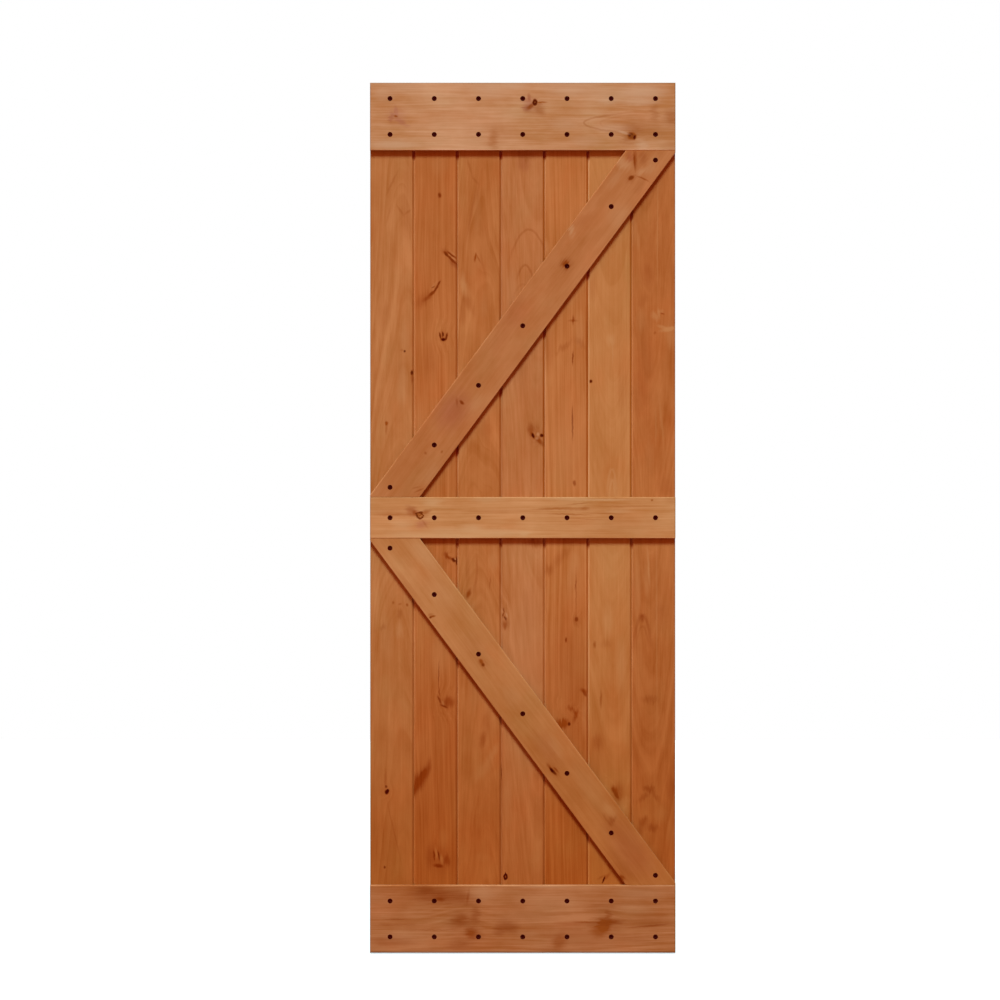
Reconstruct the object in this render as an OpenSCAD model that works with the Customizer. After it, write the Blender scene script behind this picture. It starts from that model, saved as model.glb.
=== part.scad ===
// Sliding barn door slab. Tongue-and-groove planks stand side by side, and three rails and two braces are
// screwed to their front, where the braces make a K with the middle rail. The front faces -Y. The origin
// lies on the door's bottom edge, at the middle of its width and of its thickness.

/* [Door] */
// Height of the door
door_h = 2134; // [1900:1:2400]

/* [Planks] */
// Number of planks side by side
plank_count = 7; // [5:1:9]
// Face width that one plank covers
plank_cover = 107; // [95:1:125]
// Thickness of the planks
plank_t = 20; // [18:0.5:26]
// Width and depth of the bevel on a plank's front edges, two of which make the V of a joint
v_bevel = 4.5; // [1.5:0.1:5.5]
// Width and depth of the bevel on a plank's back edges
back_bevel = 1; // [0.4:0.1:2]
// Thickness of the tongue
tongue_t = 6; // [4:0.5:8]
// Reach of the tongue past the plank's shoulder
tongue_l = 8; // [5:0.5:11]
// Width and depth of the bevel on the tongue's nose
tongue_bevel = 1; // [0.5:0.1:1.8]
// Gap between the shoulders of two planks
joint_gap = 0.4; // [0.2:0.1:0.8]
// Clearance between the tongue and its groove, on each side and at the nose
tongue_clearance = 0.2; // [0.1:0.05:0.4]

/* [Rails and braces] */
// Thickness of the rails and braces
overlay_t = 15; // [13:0.5:20]
// Width of the top and bottom rails
wide_rail_w = 166; // [140:1:200]
// Width of the middle rail
middle_rail_w = 101; // [80:1:140]
// Width of the braces
brace_w = 101; // [80:1:130]
// Height of the flat on a brace's long corners, where they are trimmed at the sides of the door
brace_nib = 5.5; // [2:0.5:12]
// Radius of the eased front edges of the rails and braces
arris_r = 2; // [0.5:0.5:4]
// Gap between the end of a brace and the edge of a rail
brace_end_gap = 0.4; // [0.2:0.1:1]

/* [Screws] */
// Distance from the sides of the door to the outer screws
screw_side_inset = 49; // [38:1:58]
// Distance from the edges of the wide rails to their two rows of screws
screw_row_inset = 39; // [25:1:50]
// Smallest distance from the edge of a rail to a screw in a brace
screw_end_inset = 24; // [18:1:35]
// Distance of a brace's screws below its middle line
brace_screw_drop = 5; // [0:0.5:10]
// Length of the screws, head included
screw_l = 30; // [26:1:32]
// Diameter of the countersunk head
head_d = 12; // [9:0.5:13]
// Thickness of the head's straight rim
head_rim = 0.6; // [0.3:0.1:1]
// Diameter of the shank
shank_d = 6; // [4:0.5:7]
// Length of the point
point_l = 6; // [4:0.5:8]
// Depth of the head's top below the face of the wood
head_sink = 1; // [0.4:0.1:2]
// Clearance between a screw and its hole
screw_clearance = 0.15; // [0.05:0.05:0.3]
// Width across the cross recess in the head
drive_d = 6; // [4:0.1:7]
// Thickness of the wings of the cross recess
drive_wing = 1.5; // [0.9:0.1:2]
// Depth of the cross recess
drive_depth = 2.8; // [1.8:0.1:3.4]

/* [Hidden] */
$fn = 48;
// Length by which a cut runs past the face that it opens
overrun = 1;
// Angle by which each screw's recess is turned from the one before it
drive_turn = 37;
// Width of the cross recess at its bottom, as a share of its width at the top
drive_taper_share = 0.4;

// The door's width, and its depth from the rails' face to the planks' back
door_w = plank_count * plank_cover;
door_t = plank_t + overlay_t;
front_y = -door_t / 2;
plank_front_y = front_y + overlay_t;

// The two open panels between the rails, which are equal, and the heights of their edges
panel_h = (door_h - 2 * wide_rail_w - middle_rail_w) / 2;
lower_panel_z = wide_rail_w;
middle_rail_z = lower_panel_z + panel_h;
upper_panel_z = middle_rail_z + middle_rail_w;
top_rail_z = upper_panel_z + panel_h;

// A brace's angle to the vertical: its edges pass the panel's opposite corners at the height of the nib
brace_rise = panel_h - 2 * brace_nib;
brace_lean = acos(brace_w / norm([door_w, brace_rise])) - atan2(brace_rise, door_w);

head_cone_h = (head_d - shank_d) / 2;
column_pitch = (door_w - 2 * screw_side_inset) / (plank_count - 1);

wood_plank = "#b36c3c";
wood_rail = "#be8257";
wood_brace = "#b4703f";
black_steel = "#1d1411";

plank_names = [for (i = [1 : plank_count]) str("plank_", i)];

// Left edge of the face that a plank covers, counted from 1
function plank_x(i) = -door_w / 2 + (i - 1) * plank_cover;

// One column of screws runs down each plank
columns = [for (i = [0 : plank_count - 1]) -door_w / 2 + screw_side_inset + i * column_pitch];

// Screw places as [x, z]: rows of rail screws, and brace screws along the brace's middle line, kept off its ends
function row_points(rows) = [for (z = rows) for (x = columns) [x, z]];
function brace_points(panel_z, side) = [
    for (x = columns)
        let (line_z = panel_z + panel_h / 2 + side * x / tan(brace_lean) - brace_screw_drop)
        [x, max(panel_z + screw_end_inset, min(panel_z + panel_h - screw_end_inset, line_z))]
];
top_points = row_points([top_rail_z + screw_row_inset, door_h - screw_row_inset]);
middle_points = row_points([middle_rail_z + middle_rail_w / 2]);
bottom_points = row_points([screw_row_inset, wide_rail_w - screw_row_inset]);
upper_points = brace_points(upper_panel_z, 1);
lower_points = brace_points(lower_panel_z, -1);
all_points = concat(top_points, middle_points, bottom_points, upper_points, lower_points);

// Puts a screw, or its hole, at each place: its axis runs along Y and its head lies below the front face
module at_points(points) {
    for (i = [0 : len(points) - 1])
        translate([points[i].x, front_y + head_sink, points[i].y])
            rotate([90, 0, 0]) rotate(i * drive_turn) children();
}

// Turned form of a screw, grown by a clearance, with the head's top at zero and the point below it
module screw_form(clearance) {
    head_r = head_d / 2 + clearance;
    shank_r = shank_d / 2 + clearance;
    rotate_extrude() polygon([
        [0, 0],
        [head_r, 0],
        [head_r, -head_rim],
        [shank_r, -head_rim - head_cone_h],
        [shank_r, point_l - screw_l],
        [0, -screw_l - clearance]
    ]);
}

module drive_recess() {
    top_r = drive_d / 2;
    bottom_r = top_r * drive_taper_share;
    cut_h = drive_depth + overrun;
    intersection() {
        translate([0, 0, -drive_depth])
            cylinder(h = cut_h, r1 = bottom_r, r2 = bottom_r + (top_r - bottom_r) * cut_h / drive_depth);
        for (turn = [0, 90])
            rotate(turn) translate([-drive_d, -drive_wing / 2, -drive_depth])
                cube([2 * drive_d, drive_wing, cut_h]);
    }
}

module screw() {
    difference() {
        screw_form(0);
        drive_recess();
    }
}

module screw_hole() {
    screw_form(screw_clearance);
    cylinder(h = head_sink + overrun, d = head_d + 2 * screw_clearance);
}

module screws(points) {
    color(black_steel) at_points(points) screw();
}

// Triangle that bevels the corner of a section
module corner_cut(size) {
    polygon([[-overrun, -overrun], [size + overrun, -overrun], [-overrun, size + overrun]]);
}

// Section of a plank, with x across its face from the left edge and y back from its front
module plank_section(has_groove, has_tongue) {
    left_x = has_groove ? joint_gap / 2 : 0;
    right_x = plank_cover - (has_tongue ? joint_gap / 2 : 0);
    tongue_y = (plank_t - tongue_t) / 2;
    nose_x = right_x + tongue_l;
    groove_l = tongue_l - joint_gap + tongue_clearance;
    difference() {
        union() {
            translate([left_x, 0]) square([right_x - left_x, plank_t]);
            if (has_tongue) polygon([
                [right_x - overrun, tongue_y],
                [nose_x - tongue_bevel, tongue_y],
                [nose_x, tongue_y + tongue_bevel],
                [nose_x, tongue_y + tongue_t - tongue_bevel],
                [nose_x - tongue_bevel, tongue_y + tongue_t],
                [right_x - overrun, tongue_y + tongue_t]
            ]);
        }
        if (has_groove) {
            translate([left_x - overrun, tongue_y - tongue_clearance])
                square([groove_l + overrun, tongue_t + 2 * tongue_clearance]);
            translate([left_x, 0]) corner_cut(v_bevel);
            translate([left_x, plank_t]) mirror([0, 1]) corner_cut(back_bevel);
        }
        if (has_tongue) {
            translate([right_x, 0]) mirror([1, 0]) corner_cut(v_bevel);
            translate([right_x, plank_t]) mirror([0, 1]) mirror([1, 0]) corner_cut(back_bevel);
        }
    }
}

module plank(i) {
    left_x = plank_x(i);
    color(wood_plank) difference() {
        translate([left_x, plank_front_y, 0])
            linear_extrude(door_h) plank_section(i > 1, i < plank_count);
        at_points([for (p = all_points) if (p.x > left_x && p.x < left_x + plank_cover) p]) screw_hole();
    }
}

// A planed bar along Z with eased front edges, centred on its width
module bar(w, l) {
    translate([0, front_y, 0]) linear_extrude(l) {
        translate([-w / 2, arris_r]) square([w, overlay_t - arris_r]);
        translate([arris_r - w / 2, 0]) square([w - 2 * arris_r, overlay_t]);
        for (side = [-1, 1]) translate([side * (w / 2 - arris_r), arris_r]) circle(arris_r);
    }
}

// A rail lies across the planks with its lower edge at a height
module rail(z, w, points) {
    color(wood_rail) difference() {
        translate([-door_w / 2, 0, z + w / 2]) rotate([0, 90, 0]) bar(w, door_w);
        at_points(points) screw_hole();
    }
}

// A brace crosses a panel from corner to corner, and is trimmed to the rails and to the sides of the door
module brace(panel_z, side, points) {
    bar_l = norm([door_w, panel_h]) + 2 * brace_w;
    color(wood_brace) difference() {
        intersection() {
            translate([-door_w / 2, front_y, panel_z + brace_end_gap])
                cube([door_w, overlay_t, panel_h - 2 * brace_end_gap]);
            translate([0, 0, panel_z + panel_h / 2]) rotate([0, side * brace_lean, 0])
                translate([0, 0, -bar_l / 2]) bar(brace_w, bar_l);
        }
        at_points(points) screw_hole();
    }
}

for (i = [1 : plank_count]) plank(i);
rail(top_rail_z, wide_rail_w, top_points);  // top_rail
rail(middle_rail_z, middle_rail_w, middle_points);  // middle_rail
rail(0, wide_rail_w, bottom_points);  // bottom_rail
brace(upper_panel_z, 1, upper_points);  // upper_brace
brace(lower_panel_z, -1, lower_points);  // lower_brace
screws(top_points);  // top_rail_screws
screws(middle_points);  // middle_rail_screws
screws(bottom_points);  // bottom_rail_screws
screws(upper_points);  // upper_brace_screws
screws(lower_points);  // lower_brace_screws
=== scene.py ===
import math
from collections import namedtuple

import bpy
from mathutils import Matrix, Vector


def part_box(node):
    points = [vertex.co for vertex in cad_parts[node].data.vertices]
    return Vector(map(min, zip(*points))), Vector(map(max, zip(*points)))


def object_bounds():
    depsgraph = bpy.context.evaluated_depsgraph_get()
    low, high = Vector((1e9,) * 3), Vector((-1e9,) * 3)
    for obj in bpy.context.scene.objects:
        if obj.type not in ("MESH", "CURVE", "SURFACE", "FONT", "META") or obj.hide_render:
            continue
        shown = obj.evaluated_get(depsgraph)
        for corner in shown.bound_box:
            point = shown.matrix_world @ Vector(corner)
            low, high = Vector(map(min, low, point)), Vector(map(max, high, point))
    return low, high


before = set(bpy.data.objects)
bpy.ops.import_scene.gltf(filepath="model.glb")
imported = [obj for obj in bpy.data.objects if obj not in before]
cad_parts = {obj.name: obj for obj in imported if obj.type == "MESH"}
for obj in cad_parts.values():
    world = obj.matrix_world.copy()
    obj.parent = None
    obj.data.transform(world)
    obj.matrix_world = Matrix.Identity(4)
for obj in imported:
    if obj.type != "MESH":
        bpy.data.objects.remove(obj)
cad_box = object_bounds()

# Planks
# Seven boards of knotty alder stand side by side, tongue in groove, with a V planed along each joint.
# They are stained a warm orange brown, and their colour is darker towards the foot of the door.


class Field:
    """A number or a colour that varies through the wood: one output socket of a material's nodes."""

    def __init__(self, socket):
        self.socket = socket

    def node(self, kind, settings, sockets):
        """A new node in the same material, given its settings and then its sockets, as its outputs."""
        tree = self.socket.id_data
        made = tree.nodes.new("ShaderNode" + kind)
        for name, value in settings.items():
            setattr(made, name, value)
        for name, value in sockets.items():
            if isinstance(name, int):
                entry = made.inputs[name]
            else:
                entry = next(s for s in made.inputs if s.name == name and s.enabled)
            if isinstance(value, Field):
                tree.links.new(value.socket, entry)
            else:
                entry.default_value = value
        return [Field(out) for out in made.outputs if out.enabled]

    def math(self, operation, first, second=0.0):
        return self.node("Math", {"operation": operation}, {0: first, 1: second})[0]

    def __add__(self, other):
        return self.math("ADD", self, other)

    __radd__ = __add__

    def __sub__(self, other):
        return self.math("SUBTRACT", self, other)

    def __rsub__(self, other):
        return self.math("SUBTRACT", other, self)

    def __mul__(self, other):
        return self.math("MULTIPLY", self, other)

    __rmul__ = __mul__

    def __truediv__(self, other):
        return self.math("DIVIDE", self, other)

    def __rtruediv__(self, other):
        return self.math("DIVIDE", other, self)

    def __pow__(self, other):
        return self.math("POWER", self, other)

    def __rpow__(self, other):
        return self.math("POWER", other, self)

    def __abs__(self):
        return self.math("ABSOLUTE", self)

    def fade(self, start, end, height=1.0):
        """Goes smoothly from 0 where the field is start to height where it is end."""
        sockets = {"Value": self, "From Min": start, "From Max": end, "To Min": 0.0, "To Max": height}
        return self.node("MapRange", {"interpolation_type": "SMOOTHSTEP"}, sockets)[0]

    def between(self, first, second):
        """A colour that goes from the first where the field is 0 to the second where it is 1."""
        sockets = {"Factor": self, "A": (*first, 1.0), "B": (*second, 1.0)}
        return self.node("Mix", {"data_type": "RGBA"}, sockets)[0]

    def tint(self, amount, colour, blend="MULTIPLY"):
        """The colour, taken by an amount towards its product with another one, or towards that one."""
        sockets = {"Factor": amount, "A": self, "B": (*colour, 1.0)}
        return self.node("Mix", {"data_type": "RGBA", "blend_type": blend}, sockets)[0]

    def moved(self, shift):
        """Coordinates plus others that vary."""
        return self.node("VectorMath", {"operation": "ADD"}, {0: self, 1: shift})[0]

    def scaled(self, scale, shift):
        """Coordinates times a scale, plus a shift."""
        return self.node("VectorMath", {"operation": "MULTIPLY_ADD"}, {0: self, 1: scale, 2: shift})[0]

    def length(self):
        """Distance of the coordinates from zero."""
        return self.node("VectorMath", {"operation": "LENGTH"}, {0: self})[0]

    def seen_from(self, spot, turn, scale=(1.0, 1.0, 1.0)):
        """Coordinates measured from a spot, along axes that are turned about Y, in units of a scale."""
        sockets = {"Vector": self, "Location": spot, "Rotation": (0.0, turn, 0.0), "Scale": scale}
        return self.node("Mapping", {"vector_type": "TEXTURE"}, sockets)[0]

    def parts(self):
        """The three coordinates one by one."""
        return self.node("SeparateXYZ", {}, {0: self})

    def noise(self, kind, seed):
        """Noise of a kind at these coordinates: its strength, and three strengths as a vector."""
        shift = [(seed + kind.shift) * step for step in SEED_STEPS]
        spot = self.scaled((kind.across, kind.across, kind.along), shift)
        sockets = {"Vector": spot, "Scale": 1.0, "Detail": kind.detail, "Roughness": kind.roughness}
        return self.node("TexNoise", {}, sockets)


def screen(red, green, blue):
    """A colour as a screen shows it, from 0 to 255, as the linear light that a shader takes."""
    shares = [value / 255 for value in (red, green, blue)]
    return tuple(s / 12.92 if s <= 0.04045 else ((s + 0.055) / 1.055) ** 2.4 for s in shares)


def share_of(colour, shares):
    """A colour with each of its three values times a share."""
    return [value * share for value, share in zip(colour, shares)]


def dress(node_name, material):
    """Gives a piece of the door its one material."""
    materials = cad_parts[node_name].data.materials
    materials.clear()
    materials.append(material)


# A knot, streak or patch on the door's face: its place, half its length along the grain and half its
# width across it, its turn from the grain in degrees, and what it does to the wood there
Mark = namedtuple("Mark", "x z length width tilt dark brown pale pink rim bend", defaults=(0,) * 7)

# A growth line that shows as an arch: the place of its top, how fast it runs along the grain as it
# spreads, how far its legs reach, its half width, and how brown or pale it is
Arch = namedtuple("Arch", "x z curve reach width brown pale", defaults=(0,) * 2)

# How one board grew and took its stain: its colour, how far its pith lies to the side and in front,
# rings a metre, how the rings run along the board and wander, how strongly bands, ring lines, streaks,
# fibres and clouds show, how far it darkens towards the foot, and how strongly the painted highlight and
# shade along its two edges show
BOARD_FIELDS = "seed stain pith rings taper wobble bands lines streaks fibre clouds foot edges"
Board = namedtuple("Board", BOARD_FIELDS + " marks arches", defaults=((),))

# A noise in the wood: waves a metre across and along the grain, shift of the seed, detail, roughness
Noise = namedtuple("Noise", "across along shift detail roughness", defaults=(0.5,))
SHAKE_NOISE = Noise(70.0, 70.0, 0.0, 3.0, 0.6)
WANDER_NOISE = Noise(6.0, 1.5, 2.0, 2.0)
COMB_NOISE = Noise(180.0, 14.0, 3.0, 3.0, 0.6)
LINE_NOISE = Noise(18.0, 3.0, 5.0, 2.0)
FIBRE_NOISE = Noise(340.0, 8.0, 9.0, 2.0, 0.6)
STREAK_NOISE = Noise(110.0, 3.0, 13.0, 3.0, 0.6)
CLOUD_NOISE = Noise(11.0, 5.0, 17.0, 4.0, 0.6)
HUE_NOISE = Noise(14.0, 7.0, 21.0, 3.0)
BAND_SOCKETS = {"Scale": 1.3, "Detail": 3.0, "Roughness": 0.6}
SEED_STEPS = (1.0, 1.7, 0.6)
NOISE_MEAN = 0.5

# Light and deep wood, and what marks and edges do, as shares of the board's own stain
LIGHT_SHARE = (1.16, 1.30, 1.55)
DEEP_SHARE = (0.84, 0.73, 0.55)
RED_SHARE = (1.01, 0.93, 0.88)
YELLOW_SHARE = (0.99, 1.07, 1.10)
BROWN_SHARE = (0.62, 0.35, 0.12)
DARK_SHARE = (0.24, 0.04, 0.0)
PINK_SHARE = (0.88, 0.77, 0.92)
PALE_SHARE = (1.18, 1.58, 2.20)
OUTER_SHARE = (0.68, 0.72, 0.78)
FOOT_SHARE = (0.78, 0.57, 0.335)

# How far the outlines of marks are shaken, and how far patches of stain are pulled along the grain.
# A patch is a mark that is at least so wide, and less dark than this
SHAKE = 0.005
COMB = 0.036
PATCH_WIDTH = 0.006
PATCH_DARK = 0.2

# Where a mark's parts begin and are full, in units of its own size; its rim is measured in metres.
# Marks go right through the board
CORE_FADE = (1.2, 0.4)
STAIN_FADE = (1.5, 0.2)
BEND_FADE = (4.0, 0.0)
RIM_FADE = (0.0036, 0.001)
THROUGH = 1000.0
LEG_FULL = 0.2
DARK_POWER = 1.5

# How sharp the ring lines are and where they break off, and how the figure of the wood and its hue show
LINE_POWER = 7.0
LINE_FADE = (0.38, 0.65)
FIGURE_CONTRAST = 1.6
RED_FADE = (0.5, 0.75)
YELLOW_FADE = (0.5, 0.25)

# The foot's darkening by height, and the outer edges' by distance from the sides and head, or the base,
# where it is painted shade
FOOT_FADE = (0.95, 0.17)
OUTER_FADE = (0.0028, 0.0012)
BASE_FADE = (0.0056, 0.0024)

# The wiped stain leaves an almost dull face with shallow pores
WOOD_ROUGHNESS = 0.55
WOOD_ROUGHNESS_SPREAD = 0.2
DULL_SPECULAR = 0.02
FIBRE_HEIGHT = 0.6
BAND_HEIGHT = 0.4
PORE_SOCKETS = {"Strength": 0.4, "Distance": 0.0004}


def wood(node_name, lean, board, edge_masks):
    """Solid wood for one board: growth rings round a pith, fibres, clouds of stain and its marks."""
    low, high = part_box(node_name)
    material = bpy.data.materials.new(node_name + "_wood")
    material.use_nodes = True
    tree = material.node_tree
    shader = tree.nodes["Principled BSDF"]
    place = Field(tree.nodes.new("ShaderNodeTexCoord").outputs["Object"])
    door_x, _, door_z = place.parts()
    grain = place.seen_from(((low.x + high.x) / 2, low.y, (low.z + high.z) / 2), lean)
    across, _, along = grain.parts()

    # The marks lie on a place that is shaken a little, so that their outlines are uneven, and patches
    # of stain lie on one that is pulled along the grain, so that they end in fibres
    shake = (SHAKE, 0.0, SHAKE)
    comb = (COMB * math.sin(abs(lean)), 0.0, COMB * math.cos(lean))
    shaking = place.noise(SHAKE_NOISE, board.seed)[1].scaled(shake, [-value / 2 for value in shake])
    combing = grain.noise(COMB_NOISE, board.seed)[1].scaled(comb, [-value / 2 for value in comb])
    shaken = place.moved(shaking)
    combed = shaken.moved(combing)
    dark = brown = pale = pink = bend = 0.0
    for mark in board.marks:
        patch = min(mark.length, mark.width) >= PATCH_WIDTH and mark.dark < PATCH_DARK
        ground = combed if patch else shaken
        turn = lean + math.radians(mark.tilt)
        extent = (mark.width, THROUGH, mark.length)
        reach = ground.seen_from((mark.x, 0.0, mark.z), turn, extent).length()
        if mark.dark:
            dark = reach.fade(*CORE_FADE, mark.dark) + dark
        if mark.rim:
            size = (mark.length + mark.width) / 2
            rim_fade = [value / size for value in RIM_FADE]
            dark = abs(reach - 1.0).fade(*rim_fade, mark.rim) + dark
        if mark.brown:
            brown = reach.fade(*STAIN_FADE, mark.brown) + brown
        if mark.pale:
            pale = reach.fade(*STAIN_FADE, mark.pale) + pale
        if mark.pink:
            pink = reach.fade(*STAIN_FADE, mark.pink) + pink
        if mark.bend:
            bend = reach.fade(*BEND_FADE, mark.bend) + bend
    for arch in board.arches:
        aside, _, run = shaken.seen_from((arch.x, 0.0, arch.z), lean).parts()
        square = aside * aside
        steepness = (1.0 + square * (2.0 * arch.curve) ** 2) ** 0.5
        gap = abs(run - square * arch.curve) / steepness
        line_fade = [arch.width * value for value in STAIN_FADE]
        line = gap.fade(*line_fade) * abs(run).fade(arch.reach, arch.reach * LEG_FULL)
        if arch.brown:
            brown = line * arch.brown + brown
        if arch.pale:
            pale = line * arch.pale + pale

    # Growth rings stand round the pith, which wanders along the tree, and run round the knots
    wander = grain.noise(WANDER_NOISE, board.seed)[0]
    radius = grain.scaled((1.0, 1.0, 0.0), (-board.pith[0], board.pith[1], 0.0)).length()
    ring = radius * board.rings + along * board.taper + wander * board.wobble + bend
    bands = ring.node("TexNoise", {"noise_dimensions": "1D"}, {"W": ring, **BAND_SOCKETS})[0]
    unbroken = grain.noise(LINE_NOISE, board.seed)[0].fade(*LINE_FADE)
    lines = ring.math("FRACT", ring) ** LINE_POWER * unbroken

    fibre = grain.noise(FIBRE_NOISE, board.seed)[0] - NOISE_MEAN
    streaks = grain.noise(STREAK_NOISE, board.seed)[0] - NOISE_MEAN
    clouds = grain.noise(CLOUD_NOISE, board.seed)[0] - NOISE_MEAN
    hue = grain.noise(HUE_NOISE, board.seed)[0]
    figure = (bands - NOISE_MEAN) * board.bands + streaks * board.streaks + clouds * board.clouds
    tone = NOISE_MEAN + figure * FIGURE_CONTRAST + fibre * board.fibre - lines * board.lines

    # Stain, marks, the darker foot, painted highlight and shade along the board's own edges, and the
    # darker outside of the door, painted shade along its base
    colour = tone.between(share_of(board.stain, DEEP_SHARE), share_of(board.stain, LIGHT_SHARE))
    colour = colour.tint(hue.fade(*RED_FADE), RED_SHARE)
    colour = colour.tint(hue.fade(*YELLOW_FADE), YELLOW_SHARE)
    if pink:
        colour = colour.tint(pink, PINK_SHARE)
    if brown or dark:
        colour = colour.tint(brown + dark, BROWN_SHARE)
    if dark:
        colour = colour.tint(dark ** DARK_POWER, DARK_SHARE)
    if pale:
        colour = colour.tint(pale, share_of(board.stain, PALE_SHARE), "MIX")
    colour = colour.tint(door_z.fade(*FOOT_FADE, board.foot), FOOT_SHARE)
    for mask, share in edge_masks(place, across):
        colour = colour.tint(mask, share)
    # Darker along the sides and head of the door, and painted shade along its base
    sides = abs(door_x).fade(*[cad_box[1].x - value for value in OUTER_FADE])
    head = door_z.fade(*[cad_box[1].z - value for value in OUTER_FADE])
    base = door_z.fade(*[cad_box[0].z + value for value in BASE_FADE])
    colour = colour.tint(sides + head + base, OUTER_SHARE)

    rough = WOOD_ROUGHNESS + fibre * WOOD_ROUGHNESS_SPREAD
    height = fibre * FIBRE_HEIGHT + bands * BAND_HEIGHT - dark
    pores = height.node("Bump", {}, {"Height": height, **PORE_SOCKETS})[0]
    for name, field in (("Base Color", colour), ("Roughness", rough), ("Normal", pores)):
        tree.links.new(field.socket, shader.inputs[name])
    shader.inputs["Specular IOR Level"].default_value = DULL_SPECULAR
    dress(node_name, material)


UPRIGHT = 0.0
planks = {}
planks[1] = Board(
    seed=3.1, stain=screen(180, 110, 63), pith=(0.02, 0.03), rings=70, taper=9.0, wobble=6.0,
    bands=0.5, lines=0.25, streaks=0.32, fibre=0.49, clouds=1.0, foot=0.95, edges=(0.0, 0.65),
    marks=[
        Mark(-0.3206, 1.89, 0.032, 0.003, 26, brown=0.3),
        Mark(-0.301, 1.822, 0.015, 0.003, -35, brown=0.3),
        Mark(-0.282, 1.818, 0.01, 0.003, 50, brown=0.3),
        Mark(-0.33, 1.81, 0.024, 0.003, 15, brown=0.2),
        Mark(-0.285, 1.83, 0.1, 0.014, brown=0.2),
        Mark(-0.34, 1.565, 0.04, 0.016, brown=0.25),
        Mark(-0.296, 1.4, 0.06, 0.012, pale=0.35),
        Mark(-0.289, 1.513, 0.04, 0.012, pale=0.25),
        Mark(-0.29, 1.476, 0.004, 0.003, dark=0.9, brown=0.3),
        Mark(-0.297, 1.479, 0.003, 0.004, brown=0.4),
        Mark(-0.2725, 1.424, 0.007, 0.004, dark=0.8, brown=0.4),
        Mark(-0.272, 1.41, 0.016, 0.003, brown=0.6),
        Mark(-0.334, 1.299, 0.005, 0.004, brown=1.0),
        Mark(-0.335, 1.287, 0.016, 0.003, brown=0.5),
        Mark(-0.318, 0.858, 0.004, 0.003, brown=0.6),
        Mark(-0.301, 0.855, 0.003, 0.005, brown=0.5),
        Mark(-0.284, 0.853, 0.004, 0.003, brown=0.9),
        Mark(-0.302, 0.828, 0.012, 0.006, brown=0.35),
        Mark(-0.343, 0.799, 0.008, 0.008, brown=0.4),
        Mark(-0.335, 0.765, 0.05, 0.016, pale=0.25),
        Mark(-0.303, 0.79, 0.02, 0.01, pale=0.3),
        Mark(-0.334, 0.393, 0.007, 0.006, dark=1.0, brown=0.3, bend=1.5),
        Mark(-0.331, 0.397, 0.005, 0.004, dark=0.9),
        Mark(-0.335, 0.406, 0.004, 0.004, dark=0.6),
        Mark(-0.337, 0.425, 0.024, 0.003, brown=0.4),
        Mark(-0.316, 0.296, 0.085, 0.002, -13, brown=0.25),
        Mark(-0.339, 0.209, 0.004, 0.003, dark=0.5, brown=0.4),
    ])
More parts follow.
